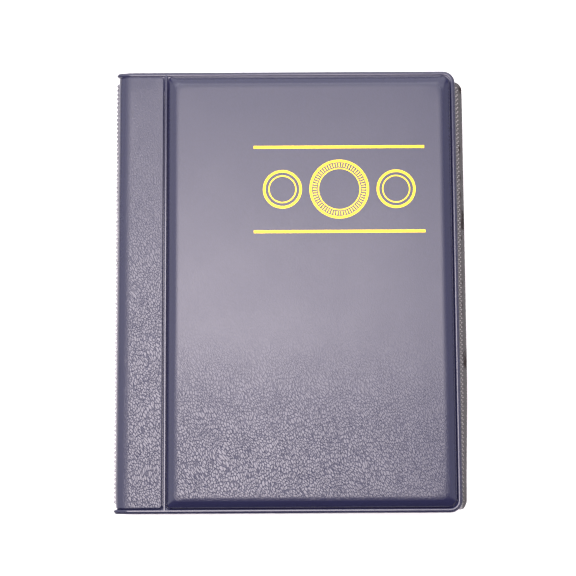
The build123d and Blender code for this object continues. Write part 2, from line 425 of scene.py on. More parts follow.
def matt_floor(name, base):
    """Seamless paper under the album."""
    material, tree, _ = start_material(name)
    finish_material(tree, {"Base Color": rgba(base), "Roughness": 0.9, "Specular IOR Level": 0.1})
    return material


# ------------------------------------------------------------------ sheet meshes
def spaced(stops):
    """Grid lines through (place, spacing) stops: each stretch up to the next stop has its spacing."""
    lines = [stops[0][0]]
    for (start, step), (end, _) in zip(stops, stops[1:]):
        count = max(1, round((end - start) / step))
        lines += [start + (end - start) * i / count for i in range(1, count + 1)]
    return np.array(lines)


def end_lines(half, fine, middle):
    """Lines from tail to head, fine along both rims and coarse between them."""
    edge = [(-half, fine), (-half + BY_RIM, 2 * fine), (-half + BY_BEVEL, middle)]
    return spaced(edge + [(half - BY_BEVEL, 2 * fine), (half - BY_RIM, fine), (half, fine)])


def edged_lines(low, high, fine, reach):
    """Lines from low to high, fine within this reach of both ends and 2.5 mm apart between them."""
    return spaced([(low, fine), (low + reach, 2.5 * MM), (high - reach, fine), (high, 1)])


def link_object(name, data):
    """An object for this mesh, light or camera, in the scene."""
    thing = bpy.data.objects.new(name, data)
    bpy.context.scene.collection.objects.link(thing)
    return thing


def link_work(name, work):
    """An object with the mesh of this bmesh, which is freed."""
    mesh = bpy.data.meshes.new(name)
    work.to_mesh(mesh)
    work.free()
    return link_object(name, mesh)


def make_sheet(name, outer, inner, label, values, kept=None):
    """A closed sheet from two grids of points, over the quads that are kept, with a named attribute."""
    rows, columns = outer.shape[:2]
    if kept is None:
        kept = np.ones((rows - 1, columns - 1), bool)
    count = rows * columns
    points = np.concatenate([outer.reshape(-1, 3), inner.reshape(-1, 3)])
    index = np.arange(count).reshape(rows, columns)
    a, b = index[:-1, :-1], index[1:, :-1]
    c, d = index[1:, 1:], index[:-1, 1:]
    quads = np.stack([a, b, c, d], axis=-1)[kept]
    faces = [quads, quads[:, ::-1] + count]
    # Walls along every edge that has a kept quad on one side only
    padded = np.pad(kept, 1)
    here = padded[1:-1, 1:-1]
    for start, end, across in (
        (b, a, padded[1:-1, :-2]),
        (d, c, padded[1:-1, 2:]),
        (a, d, padded[:-2, 1:-1]),
        (c, b, padded[2:, 1:-1]),
    ):
        open_edge = here & ~across
        s, e = start[open_edge], end[open_edge]
        faces.append(np.stack([s, e, e + count, s + count], axis=-1))
    mesh = bpy.data.meshes.new(name)
    mesh.from_pydata(points.tolist(), [], np.concatenate(faces).tolist())
    attribute = mesh.attributes.new(label, "FLOAT", "POINT")
    both = np.concatenate([values.ravel(), values.ravel()])
    attribute.data.foreach_set("value", both.astype(np.float32))
    piece = link_object(name, mesh)
    tidy_mesh(mesh)
    return piece


def tidy_mesh(mesh):
    """Drops loose points, joins doubles, turns the faces outwards and smooths all but sharp edges."""
    work = bmesh.new()
    work.from_mesh(mesh)
    bmesh.ops.delete(work, geom=[v for v in work.verts if not v.link_faces], context="VERTS")
    bmesh.ops.remove_doubles(work, verts=work.verts, dist=1e-7)
    bmesh.ops.recalc_face_normals(work, faces=work.faces)
    for edge in work.edges:
        edge.smooth = edge.calc_face_angle(0) < math.radians(50)
    for face in work.faces:
        face.smooth = True
    work.to_mesh(mesh)
    work.free()


def round_corners(x, y, right, half, radius):
    """Moves the grid's two fore corners on to arcs. The rest of the grid stays where it is."""
    u = np.clip((x - (right - radius)) / radius, 0, 1)
    v = np.clip((np.abs(y) - (half - radius)) / radius, 0, 1)
    arc_x = right - radius + radius * u * np.sqrt(1 - v * v / 2)
    arc_y = half - radius + radius * v * np.sqrt(1 - u * u / 2)
    inside = (u > 0) & (v > 0)
    return np.where(inside, arc_x, x), np.where(inside, np.sign(y) * arc_y, y)


def depth_inside(x, y, left, right, half, radius):
    """How deep a point lies inside a rectangle with rounded corners."""
    middle, reach = (left + right) / 2, (right - left) / 2
    dx = np.abs(x - middle) - (reach - radius)
    dy = np.abs(y) - (half - radius)
    outside = np.hypot(np.maximum(dx, 0), np.maximum(dy, 0))
    return radius - outside - np.minimum(np.maximum(dx, dy), 0)


def depth_in_panel(x, y, left, right, half, near_radius, far_radius):
    """How deep a point lies inside a padded rectangle, whose slopes run into each other at its corners."""
    from_side = np.minimum(x - left, right - x)
    from_end = half - np.abs(y)
    shallow = np.maximum(np.minimum(from_side, from_end), 0)
    blend = 1.17 * np.where(x - left < right - x, near_radius, far_radius) + 0.3 * shallow
    near = np.maximum(blend - np.abs(from_side - from_end), 0) / blend
    return np.minimum(from_side, from_end) - near * near * blend / 4


def soft_step(value, low, high):
    t = np.clip((value - low) / (high - low), 0, 1)
    return t * t * (3 - 2 * t)


def ridge(value, at, width):
    return np.exp(-(((value - at) / width) ** 2))


def flat_ridge(value, at, width):
    """A ridge with a flatter crest."""
    return np.exp(-(((value - at) / width) ** 4))


# ------------------------------------------------------------------ the covers' shape
def along_skin(s, cover):
    """Where the skin's outer line is, and which way it faces, at a distance s from the spine's middle."""
    tall, wide = cover.fold_height, cover.fold_width
    upright = STRIP_Z - tall - MIDDLE_Z
    turn = fold_length(cover)
    angle = np.clip((s - upright) / turn, 0, 1) * math.pi / 2
    flat = np.maximum(s - upright - turn, 0)
    x = SPINE_X + wide - wide * np.cos(angle) + flat
    z = MIDDLE_Z + np.minimum(s, upright) + tall * np.sin(angle)
    nx, nz = -np.cos(angle) / wide, np.sin(angle) / tall
    size = np.hypot(nx, nz)
    return x, z, nx / size, nz / size


def fold_length(cover):
    """About how much skin goes round the fold."""
    return math.pi / 2 * math.sqrt((cover.fold_height**2 + cover.fold_width**2) / 2)


def skin_reach(cover):
    """The distances along the skin of the strip's start, the hinge weld and the fore edge."""
    start = STRIP_Z - cover.fold_height - MIDDLE_Z + fold_length(cover)
    edge = SPINE_X + cover.fold_width
    return start, start + WELD_X - edge, start + FORE_X - edge


def skin_height(s, y, cover):
    """How far the finished skin stands over its outer line, and how much of its grain is left."""
    start, weld, fore = skin_reach(cover)
    across = s - weld
    inner_half = END_Y - cover.rim_width
    edge = depth_inside(s, y, NO_EDGE, fore, END_Y, cover.corner_radius)
    strip_end, panel_start = weld - cover.weld_groove, weld + cover.weld_groove
    near, far = cover.strip_radius, cover.panel_radius
    strip_depth = depth_in_panel(s, y, NO_EDGE, strip_end, inner_half, near, near)
    panel_end = fore - cover.rim_width
    panel_depth = depth_in_panel(s, y, panel_start, panel_end, inner_half, 1.5 * near, far)
    depth = np.maximum(strip_depth, panel_depth)
    # The welded land round the strip and the panel lies a little lower, and its outer edge is rounded
    land = 1 - soft_step(depth, -0.1 * MM, 0.35 * MM)
    roll = np.clip(edge / (0.85 * MM), 0, 1)
    height = -cover.rim_drop * land - 0.6 * MM * (1 - np.sqrt(1 - (1 - roll) ** 2))
    # A bead runs along its middle, and a pressed line along each side of it
    bead = np.maximum(
        flat_ridge(edge, cover.rim_middle, cover.bead_width),
        flat_ridge(across, 0, cover.bead_width) * (edge > cover.rim_middle),
    )
    height = height + cover.bead_height * bead
    pressed = cover.groove_depth * (1 - 0.9 * soft_step(y, 62 * MM, 70 * MM))
    height = height - pressed * ridge(depth, 0, cover.groove_width)
    # The rim is too stiff to follow the spine's rounding and stands out as an ear
    turned = (1 + (s - start) / fold_length(cover)) * math.pi / 2
    ear = ridge(turned, 0.35, 0.42) * (1 - soft_step(edge, 0.9 * MM, 2.0 * MM))
    height = height + cover.rim_ear * ear
    # The padded panel, with its slope rounded into the top and a slow swell over the foam
    rise = TOP_Z - STRIP_Z - 0.1 * MM
    climb = np.clip(panel_depth / cover.bevel_width, 0, 1)
    swell = soft_step(panel_depth, cover.bevel_width * 0.6, cover.bevel_width + 12 * MM)
    height = height + rise * (1 - (1 - climb) ** 2.4)
    height = height + 0.07 * MM * swell * (panel_depth > 0)
    # The strip swells over its card
    height = height + 0.12 * MM * soft_step(strip_depth, 0, 5 * MM) * (strip_depth > 0)
    # The roller's grain is ironed off the welded land and the slope, and stretched off the fold
    grain = soft_step(depth, 0.1 * MM, 0.8 * MM)
    on_panel = soft_step(panel_depth, cover.bevel_width * 0.5, cover.bevel_width * 0.85)
    grain = grain * np.where(across > 0, on_panel, 1.0)
    bent = soft_step(s, start - 2.4 * MM, start)
    grain = grain * (0.1 + 0.9 * np.where(across > 0, 1.0, bent))
    # The roller bit deeper towards the tail, and hands have smoothed the head
    on_strip = 0.3 + 0.7 * soft_step(-y, -60 * MM, 45 * MM)
    bite = 0.14 + 0.86 * soft_step(-y, 10 * MM, 60 * MM) * (1 - 0.4 * soft_step(across, 30 * MM, fore))
    return height, grain * np.where(across > 0, bite, on_strip)


def hollow_depth(s, y, cover):
    """How much room there is under the skin for its board or card, from 0 to 1."""
    start, weld, fore = skin_reach(cover)
    edge = depth_inside(s, y, NO_EDGE, fore, END_Y, cover.corner_radius)
    open_room = soft_step(edge, cover.rim_width, cover.rim_width + 0.5 * MM)
    return open_room * soft_step(np.abs(s - weld), 1.6 * MM, 2.0 * MM)


def skin_grid(s_lines, cover, lift, trimmed):
    """Points over the skin's outer line, lifted by a function of (s, y)."""
    y_lines = end_lines(END_Y, 0.12 * MM, 3.0 * MM)
    s, y = np.meshgrid(s_lines, y_lines, indexing="ij")
    if trimmed:
        s, y = round_corners(s, y, skin_reach(cover)[2], END_Y, cover.corner_radius)
    x, z, nx, nz = along_skin(s, cover)
    height = lift(s, y)
    return np.stack([x + nx * height, y, z + nz * height], axis=-1), s, y


def mirrored(points):
    """The back cover's points from the front cover's."""
    flipped = points.copy()
    flipped[..., 2] = 2 * MIDDLE_Z - flipped[..., 2]
    return flipped


def cover_lines(cover):
    """The lines along the skin for its two stretches: round the spine, and over the cover."""
    start, weld, fore = skin_reach(cover)
    part = (start + weld) / 2
    bent = start - fold_length(cover) - 0.6 * MM
    round_spine = spaced([(0, 2.0 * MM), (bent, 0.3 * MM), (start + 1 * MM, 1.5 * MM), (part, 1)])
    over_cover = spaced(
        [
            (part, 1.0 * MM),
            (weld - 1.8 * MM, 0.1 * MM),
            (weld + 1.8 * MM, 0.22 * MM),
            (weld + 5.5 * MM, 3.0 * MM),
            (fore - BY_BEVEL, 0.22 * MM),
            (fore - BY_RIM, 0.12 * MM),
            (fore, 1),
        ]
    )
    return round_spine, over_cover


def layer_piece(name, s_lines, cover, trimmed, back, lifts, grain_of):
    """One stretch of a layer of the covers, between its outer and its inner lift."""
    outer, s, y = skin_grid(s_lines, cover, lifts[0], trimmed)
    inner = skin_grid(s_lines, cover, lifts[1], trimmed)[0]
    if back:
        outer, inner = mirrored(outer), mirrored(inner)
    return make_sheet(name, outer, inner, "grain", grain_of(s, y))


def skin_piece(name, s_lines, cover, trimmed, back):
    """One stretch of the embossed skin, with the room for its board or card under it."""

    def outer_lift(s, y):
        return skin_height(s, y, cover)[0]

    def inner_lift(s, y):
        welded = LINING_Z - STRIP_Z
        under = np.maximum(outer_lift(s, y) - cover.skin_thickness, welded)
        return welded + (under - welded) * hollow_depth(s, y, cover)

    def grain_of(s, y):
        return skin_height(s, y, cover)[1]

    return layer_piece(name, s_lines, cover, trimmed, back, (outer_lift, inner_lift), grain_of)


def lining_piece(name, s_lines, cover, trimmed, back):
    """One stretch of the plain lining, with the rim and the hinge weld pressed into it."""
    _, weld, fore = skin_reach(cover)

    def edge_of(s, y):
        return depth_inside(s, y, NO_EDGE, fore, END_Y, cover.corner_radius)

    def inner_lift(s, y):
        pressed = 0.12 * MM * ridge(edge_of(s, y), cover.rim_width, cover.groove_width * 1.4)
        pressed = pressed + 0.12 * MM * ridge(s, weld, 0.35 * MM)
        return INNER_Z - STRIP_Z + pressed

    def outer_lift(s, y):
        return np.full_like(s, LINING_Z - STRIP_Z - 0.01 * MM)

    def grain_of(s, y):
        return soft_step(edge_of(s, y), cover.rim_width, cover.rim_width + 1 * MM)

    return layer_piece(name, s_lines, cover, trimmed, back, (outer_lift, inner_lift), grain_of)


def fold_ends(cover, back):
    """Where the skin starts and stops turning round the spine's fold: on the strip, on the spine."""
    on_strip = Vector((SPINE_X + cover.fold_width + FOLD_CLEAR, 0, STRIP_Z))
    on_spine = Vector((SPINE_X, 0, STRIP_Z - cover.fold_height - FOLD_CLEAR))
    if back:
        on_strip.z = 2 * MIDDLE_Z - on_strip.z
        on_spine.z = 2 * MIDDLE_Z - on_spine.z
    return on_strip, on_spine


def set_material(piece, material):
    piece.data.materials.clear()
    piece.data.materials.append(material)


def cover_pieces(make, word, material, stands_for):
    """Makes one layer of the covers in four stretches: for each cover, one over the cover and one round
    the spine.
    """
    cover = bpy.context.scene.album_cover
    round_spine, over_cover = cover_lines(cover)
    for side in ("front", "back"):
        back = side == "back"
        panel = make(f"{side}_cover_{word}", over_cover, cover, True, back)
        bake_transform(panel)
        wrap = make(f"{side}_spine_{word}", round_spine, cover, False, back)
        on_strip, on_spine = fold_ends(cover, back)
        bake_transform(wrap)
        for piece, nodes in zip((panel, wrap), stands_for[side]):
            set_material(piece, material)
            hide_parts(*nodes)


class ALBUM_OT_skins(bpy.types.Operator):
    """Makes the embossed vinyl skins of the covers, the strips and the spine"""

    bl_idname = "album.skins"
    bl_label = "Vinyl skins"

    def execute(self, context):
        colours = context.scene.album_colours
        vinyl = embossed_vinyl("embossed_soft_pvc", colours.vinyl, grain_mm=0.62,
                               depth_mm=0.05, roughness=0.35, crease_matt=0.16)
        cover_pieces(
            skin_piece, "vinyl", vinyl,
            {
                "front": (["front_skin"], ["front_strip_skin", "spine_skin"]),
                "back": (["back_skin"], ["back_strip_skin"]),
            },
        )
        return {"FINISHED"}


class ALBUM_OT_linings(bpy.types.Operator):
    """Makes the plain vinyl linings inside the covers, the strips and the spine"""

    bl_idname = "album.linings"
    bl_label = "Linings"

    def execute(self, context):
        colours = context.scene.album_colours
        lining = embossed_vinyl("plain_soft_pvc", colours.lining, grain_mm=0.45,
                                depth_mm=0.05, roughness=0.4, crease_matt=0.1)
        cover_pieces(
            lining_piece, "inner_vinyl", lining,
            {
                "front": (["front_lining"], ["front_strip_lining", "spine_lining"]),
                "back": (["back_lining"], ["back_strip_lining"]),
            },
        )
        return {"FINISHED"}


def pad_piece(name, cover, back):
    """The foam between the board and the skin: flat below, crowned above, and pinched at its edges."""
    start = skin_reach(cover)[0]
    low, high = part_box("front_pad")
    shift = start - SPINE_X - cover.fold_width
    pinch = 0.9 * MM
    x_lines = edged_lines(low.x, high.x, 0.3 * MM, 3 * MM)
    y_lines = edged_lines(low.y, high.y, 0.3 * MM, 3 * MM)
    x, y = np.meshgrid(x_lines, y_lines, indexing="ij")
    x, y = round_corners(x, y, high.x, high.y, PAD_CORNER)
    under_skin = STRIP_Z + skin_height(x + shift, y, cover)[0] - cover.skin_thickness
    edge = depth_inside(x, y, low.x, high.x, high.y, PAD_CORNER)
    squeezed = (high.z - low.z) * (1 - 0.75 * ridge(edge, 0, pinch))
    top_z = np.maximum(np.minimum(under_skin - 0.02 * MM, low.z + squeezed), low.z + 0.1 * MM)
    top = np.stack([x, y, top_z], axis=-1)
    bottom = np.stack([x, y, np.full_like(x, low.z)], axis=-1)
    if back:
        top, bottom = mirrored(top), mirrored(bottom)
    return make_sheet(name, top, bottom, "squeezed", squeezed)


class ALBUM_OT_stiffeners(bpy.types.Operator):
    """Finishes the boards and cards inside the covers, and makes their foam pads"""

    bl_idname = "album.stiffeners"
    bl_label = "Boards, cards and pads"

    def execute(self, context):
        colours = context.scene.album_colours
        board = pulp_board("rolled_greyboard", colours.board)
        foam = cell_foam("open_cell_foam", colours.foam)
        for name, node in frame["nodes"].items():
            if name.endswith(("_board", "_card")):
                set_material(node, board)
        for side in ("front", "back"):
            pad = pad_piece(f"{side}_foam_pad", context.scene.album_cover, side == "back")
            set_material(pad, foam)
            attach(pad, f"{side}_cover")
            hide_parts(f"{side}_pad")
        return {"FINISHED"}


# ------------------------------------------------------------------ geometry node helpers
def start_tree(name, inputs):
    """A geometry node tree with named inputs, its group input and its group output."""
    tree = bpy.data.node_groups.new(name, "GeometryNodeTree")
    for label, kind, default in inputs:
        socket = tree.interface.new_socket(label, in_out="INPUT", socket_type=kind)
        if default is not None:
            socket.default_value = default
    tree.interface.new_socket("Geometry", in_out="OUTPUT", socket_type="NodeSocketGeometry")
    return tree, tree.nodes.new("NodeGroupInput"), tree.nodes.new("NodeGroupOutput")


def finish_tree(tree, output, geometry, material):
    """Ends a tree in real geometry that wears its material."""
    real = add_node(tree, "GeometryNodeRealizeInstances", None, {"Geometry": geometry})
    worn = add_node(
        tree, "GeometryNodeSetMaterial", None, {"Geometry": real.outputs["Geometry"], "Material": material}
    )
    tree.links.new(worn.outputs["Geometry"], output.inputs["Geometry"])


def grown(name, tree, values):
    """The plain mesh piece that a geometry node tree gives for these input values."""
    mesh = bpy.data.meshes.new(name)
    piece = link_object(name, mesh)
    modifier = piece.modifiers.new("grow", "NODES")
    modifier.node_group = tree
    for item in tree.interface.items_tree:
        if item.in_out == "INPUT" and item.name in values:
            modifier[item.identifier] = values[item.name]
    depsgraph = bpy.context.evaluated_depsgraph_get()
    result = bpy.data.meshes.new_from_object(piece.evaluated_get(depsgraph))
    piece.modifiers.clear()
    piece.data = result
    result.name = name
    bpy.data.meshes.remove(mesh)
    if not result.polygons:
        raise RuntimeError(f"{name} has no faces")
    return piece


def box_and_row(tree, box_size, box_middle, line, instance, settings, size):
    """A box, and one instance on each point of a line of points."""
    box = add_node(tree, "GeometryNodeMeshCube", None, {"Size": box_size})
    placed = add_node(
        tree, "GeometryNodeTransform", None,
        {"Geometry": box.outputs["Mesh"], "Translation": box_middle},
    )
    row = add_node(tree, "GeometryNodeMeshLine", None, line)
    many = add_node(
        tree, "GeometryNodeInstanceOnPoints", settings,
        {"Points": row.outputs["Mesh"], "Instance": instance.outputs["Mesh"], "Scale": size},
    )
    both = add_node(tree, "GeometryNodeJoinGeometry")
    tree.links.new(placed.outputs["Geometry"], both.inputs["Geometry"])
    tree.links.new(many.outputs["Instances"], both.inputs["Geometry"])
    return both.outputs["Geometry"]


def weld_strip_tree():
    """A band with a row of half-round teeth, along Y from the given start."""
    tree, given, output = start_tree(
        "toothed_weld_strip",
        [
            ("Start", "NodeSocketVector", (0, 0, 0)),
            ("Pitch", "NodeSocketFloat", 1.43 * MM),
            ("Count", "NodeSocketInt", 10),
            ("Radius", "NodeSocketFloat", 0.6 * MM),
            ("Height", "NodeSocketFloat", 9 * MM),
            ("Band size", "NodeSocketVector", (MM, MM, MM)),
            ("Band middle", "NodeSocketVector", (0, 0, 0)),
            ("Material", "NodeSocketMaterial", None),
        ],
    )
    step = add_node(tree, "ShaderNodeCombineXYZ", None, {"Y": given.outputs["Pitch"]})
    tooth = add_node(
        tree, "GeometryNodeMeshCylinder", {"Vertices": 10},
        {"Radius": given.outputs["Radius"], "Depth": given.outputs["Height"]},
    )
    # Each tooth comes out of the bar a little different
    wobble = add_node(
        tree, "FunctionNodeRandomValue", {"data_type": "FLOAT", "Seed": 7, 2: 0.86, 3: 1.0}
    )
    size = add_node(tree, "ShaderNodeCombineXYZ", {"Y": 1.0, "Z": 1.0}, {"X": wobble.outputs[1]})
    line = {
        "Count": given.outputs["Count"], "Start Location": given.outputs["Start"],
        "Offset": step.outputs["Vector"],
    }
    strip = box_and_row(
        tree, given.outputs["Band size"], given.outputs["Band middle"], line, tooth, None,
        size.outputs["Vector"],
    )
    finish_tree(tree, output, strip, given.outputs["Material"])
    return tree


class ALBUM_OT_weld_strip(bpy.types.Operator):
    """Makes the clear toothed strip welded along the outside of the spine"""

    bl_idname = "album.weld_strip"
    bl_label = "Clear weld strip"

    def execute(self, context):
        trim, colours = context.scene.album_trim, context.scene.album_colours
        low, high = strip_tooth_low, strip_tooth_high
        if high.x - low.x < trim.band:
            raise RuntimeError("the weld strip has no room for its teeth")
        count = int((high.y - low.y - 2 * trim.tooth_radius) / trim.tooth_pitch) + 1
        first = -(count - 1) * trim.tooth_pitch / 2
        tooth_x = low.x + trim.tooth_radius
        piece = grown(
            "spine_toothed_strip",
            weld_strip_tree(),
            {
                "Start": (tooth_x, first, (low.z + high.z) / 2),
                "Pitch": trim.tooth_pitch,
                "Count": count,
                "Radius": trim.tooth_radius,
                "Height": (high.z - low.z) * 0.96,
                "Band size": (trim.band, high.y - low.y, high.z - low.z),
                "Band middle": (high.x - trim.band / 2, 0, (low.z + high.z) / 2),
                "Material": knurled_pvc("weld_whitened_pvc", colours.knurl, colours.milk),
            },
        )
        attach(piece, "spine")
        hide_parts("spine_weld_strip")
        return {"FINISHED"}


# ------------------------------------------------------------------ leaves
def leaf_ripple(x, y, leaf, leaf_number, left, right):
    """Slow waves of a soft sheet, which fade out towards the binding."""
    free = soft_step(x, left, left + 25 * MM)
    phase = 0.35 * leaf_number
    wave = np.sin(x / (17 * MM) + phase) * np.sin(y / (23 * MM) + 0.7 * phase)
    edge = np.sin(y / (9 * MM) + 2.1 * phase) * soft_step(x, right - 14 * MM, right)
    droop = leaf.droop * np.clip((x - right) / leaf.fore_margin + 1, 0, 1) ** 1.3
    return free * leaf.ripple * (0.6 * wave + 0.4 * edge) - droop


def pocket_layout(leaf, low, high):
    """The first pocket's left edge, the pockets' size and their spacing."""
    left = low.x + leaf.seam
    room_x = high.x - leaf.fore_margin - left
    room_y = high.y - low.y - 2 * leaf.end_margin
    pitch_x = (room_x + leaf.seam) / leaf.columns
    pitch_y = (room_y + leaf.seam) / leaf.rows
    return left, low.y + leaf.end_margin, pitch_x, pitch_y


def margin_shade_amount(x, y, low, high, leaf):
    """How much painted shade a leaf gets, and how much less clear it is: fully in its welded fore margin,
    and less at its head and tail.
    """
    start = high.x - leaf.fore_margin
    fore = soft_step(x, start, start + 0.8 * MM)
    from_end = np.minimum(high.y - y, y - low.y)
    return np.maximum(fore, 0.7 * (1 - soft_step(from_end, 0.4 * MM, 1.4 * MM)))


def leaf_outline(x, y, low, high, leaf):
    """Rounds a leaf's two fore corners, and cuts its fore edge in a little towards the tail."""
    middle = (low.y + high.y) / 2
    x, y = round_corners(x, y - middle, high.x, high.y - middle, leaf.corner_radius)
    y = y + middle
    return x - fore_slant(x, y, high, leaf), y


def fore_slant(x, y, high, leaf):
    """How far a point in the fore margin moves in towards the binding."""
    near_edge = soft_step(x, high.x - leaf.fore_margin, high.x)
    return leaf.slant * near_edge * soft_step(-y, 25 * MM, 72 * MM)


def trimmed_corner(node, number, leaf):
    """The corners of a leaf's CAD box, with its fore edge cut a little short of the first leaf's."""
    low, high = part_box(node)
    short = leaf.uneven * ((number - 1) * 7 % 10) / 9
    return low, high - Vector((short, 0, 0))


def leaf_sheet(number, leaf, material):
    """The clear sheet of one leaf, from its root in the binding to the fore edge."""
    body = f"leaf_{number:02d}"
    low, high = trimmed_corner(f"{body}_sheet", number, leaf)
    root = binding_low.x + 0.5 * MM
    crease = joint_at[f"{body}_turn"]
    x_lines = spaced(
        [(root, 0.25 * MM), (crease.x + 6 * MM, 2.5 * MM), (high.x - BY_BEVEL, 0.4 * MM), (high.x, 1)]
    )
    y_lines = edged_lines(low.y, high.y, 0.4 * MM, 4 * MM)
    x, y = np.meshgrid(x_lines, y_lines, indexing="ij")
    x, y = leaf_outline(x, y, low, high, leaf)
    z = low.z + leaf_ripple(x, y, leaf, number, crease.x, high.x)
    top = np.stack([x, y, z + leaf.sheet_thickness], axis=-1)
    bottom = np.stack([x, y, z], axis=-1)
    margin = margin_shade_amount(x, y, low, high, leaf)
    piece = make_sheet(f"{body}_clear_sheet", top, bottom, "margin", margin)
    set_material(piece, material)
    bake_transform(piece)
    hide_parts(f"{body}_sheet")


def leaf_pockets(number, leaf, material):
    """The pocket film of one leaf: puffed pockets between welded seams, each with a notched mouth."""
    body = f"leaf_{number:02d}"
    low, high = trimmed_corner(f"{body}_pockets", number, leaf)
    left, bottom, pitch_x, pitch_y = pocket_layout(leaf, low, high)
    fine = 0.5 * MM
    x_stops, y_stops = [(low.x, fine)], [(low.y, fine)]
    for column in range(leaf.columns):
        start = left + column * pitch_x
        end = start + pitch_x - leaf.seam
        x_stops += [(start, fine), (start + 3 * MM, 1.4 * MM), (end - 3 * MM, fine), (end, fine)]
    for row in range(leaf.rows):
        start = bottom + row * pitch_y
        end = start + pitch_y - leaf.seam
        y_stops += [(start, fine), (start + 3 * MM, 1.4 * MM), (end - 9 * MM, fine), (end, fine)]
    x, y = np.meshgrid(spaced(x_stops + [(high.x, 1)]), spaced(y_stops + [(high.y, 1)]), indexing="ij")
    x, y = leaf_outline(x, y, low, high, leaf)
    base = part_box(f"{body}_sheet")[0].z + leaf.sheet_thickness
    crease = joint_at[f"{body}_turn"].x
    z = base + 0.01 * MM + leaf_ripple(x, y, leaf, number, crease, high.x)
    # Inside its seams each pocket puffs up, most of all at its mouth
    width, height = pitch_x - leaf.seam, pitch_y - leaf.seam
    in_x = (x - left) % pitch_x
    in_y = (y - bottom) % pitch_y
    inside = (x > left) & (y > bottom) & (in_x < width) & (in_y < height)
    side = np.minimum(in_x, width - in_x)
    puff = soft_step(side, 0, 5 * MM) * soft_step(in_y, 0, 6 * MM)
    z = z + leaf.puff * puff * inside * (0.75 + 0.25 * in_y / height)
    # The mouth is cut across, with a half-round notch for a thumb
    middle_x = (x[:-1, :-1] + x[1:, 1:]) / 2
    middle_y = (y[:-1, :-1] + y[1:, 1:]) / 2
    cut_x = (middle_x - left) % pitch_x
    cut_y = height - (middle_y - bottom) % pitch_y
    in_pocket = (middle_x > left) & (middle_y > bottom) & (cut_x < width) & (cut_y > 0)
    slit = cut_y < leaf.mouth
    notch = np.hypot(cut_x - width / 2, cut_y - leaf.mouth) < leaf.notch
    kept = ~(in_pocket & (slit | notch))
    top = np.stack([x, y, z + leaf.film_thickness], axis=-1)
    under = np.stack([x, y, z], axis=-1)
    margin = margin_shade_amount(x, y, low, high, leaf)
    piece = make_sheet(f"{body}_pocket_film", top, under, "margin", margin, kept)
    set_material(piece, material)
    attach(piece, body)
    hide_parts(f"{body}_pockets")


def weld_dot_tree():
    """Rows of small pyramids along the seams of a leaf: one row for each point of the seam mesh."""
    tree, given, output = start_tree(
        "weld_dots",
        [
            ("Seams", "NodeSocketObject", None),
            ("Pitch", "NodeSocketFloat", 1.43 * MM),
            ("Size", "NodeSocketFloat", 0.4 * MM),
            ("Height", "NodeSocketFloat", 0.2 * MM),
            ("Material", "NodeSocketMaterial", None),
        ],
    )
    seams = add_node(
        tree, "GeometryNodeObjectInfo", {"transform_space": "ORIGINAL"}, {"Object": given.outputs["Seams"]}
    )
    lines = add_node(tree, "GeometryNodeMeshToCurve", None, {"Mesh": seams.outputs["Geometry"]})
    steps = add_node(
        tree, "GeometryNodeCurveToPoints", {"mode": "LENGTH"},
        {"Curve": lines.outputs["Curve"], "Length": given.outputs["Pitch"]},
    )
    dot = add_node(
        tree, "GeometryNodeMeshCone", {"Vertices": 4, "Radius Top": 0.12 * MM},
        {"Radius Bottom": given.outputs["Size"], "Depth": given.outputs["Height"]},
    )
    rows = add_node(
        tree, "GeometryNodeInstanceOnPoints", None,
        {"Points": steps.outputs["Points"], "Instance": dot.outputs["Mesh"]},
    )
    finish_tree(tree, output, rows.outputs["Instances"], given.outputs["Material"])
    return tree


def leaf_dots(number, leaf, tree, material):
    """The dotted weld seams round the pockets of one leaf."""
    body = f"leaf_{number:02d}"
    low, high = trimmed_corner(f"{body}_pockets", number, leaf)
    left, bottom, pitch_x, pitch_y = pocket_layout(leaf, low, high)
    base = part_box(f"{body}_sheet")[0].z + leaf.sheet_thickness + leaf.film_thickness
    seams = []
    for column in range(leaf.columns + 1):
        x = left + column * pitch_x - leaf.seam / 2
        seams.append(((x, low.y + 2 * MM), (x, high.y - 2 * MM)))
    fore = high.x - leaf.fore_margin / 2
    seams.append(((fore, low.y + 3 * MM), (fore, high.y - 3 * MM)))
    for row in range(leaf.rows + 1):
        y = bottom + row * pitch_y - leaf.seam / 2
        seams.append(((left, y), (high.x - leaf.fore_margin, y)))
    work = bmesh.new()
    for (x0, y0), (x1, y1) in seams:
        work.edges.new((work.verts.new((x0, y0, base)), work.verts.new((x1, y1, base))))
    guide = link_work("seam_lines", work)
    piece = grown(
        f"{body}_weld_dots",
        tree,
        {
            "Seams": guide,
            "Pitch": leaf.dot_pitch,
            "Size": leaf.dot_size,
            "Height": 0.12 * MM,
            "Material": material,
        },
    )
    bpy.data.objects.remove(guide)
    crease = joint_at[f"{body}_turn"].x
    places = np.zeros(len(piece.data.vertices) * 3)
    piece.data.vertices.foreach_get("co", places)
    places = places.reshape(-1, 3)
    places[:, 0] -= fore_slant(places[:, 0], places[:, 1], high, leaf)
    places[:, 2] += leaf_ripple(places[:, 0], places[:, 1], leaf, number, crease, high.x)
    piece.data.vertices.foreach_set("co", places.ravel())
    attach(piece, body)


class ALBUM_OT_leaves(bpy.types.Operator):
    """Makes the clear leaves: sheets, pocket films and their dotted welds"""

    bl_idname = "album.leaves"
    bl_label = "Pocket leaves"

    def execute(self, context):
        leaf = context.scene.album_leaf
        colours = context.scene.album_colours
        sheet = clear_pvc("calendered_clear_pvc", colours.clear, 0.1, 4.0)
        film = clear_pvc("thin_clear_pvc", colours.clear, 0.06, 2.5)
        dots = clear_pvc("pressed_clear_pvc", colours.dots, 0.05, 1.0, 0.5)
        tree = weld_dot_tree()
        for number in range(1, LEAF_COUNT + 1):
            leaf_sheet(number, leaf, sheet)
            leaf_pockets(number, leaf, film)
            leaf_dots(number, leaf, tree, dots)
        return {"FINISHED"}


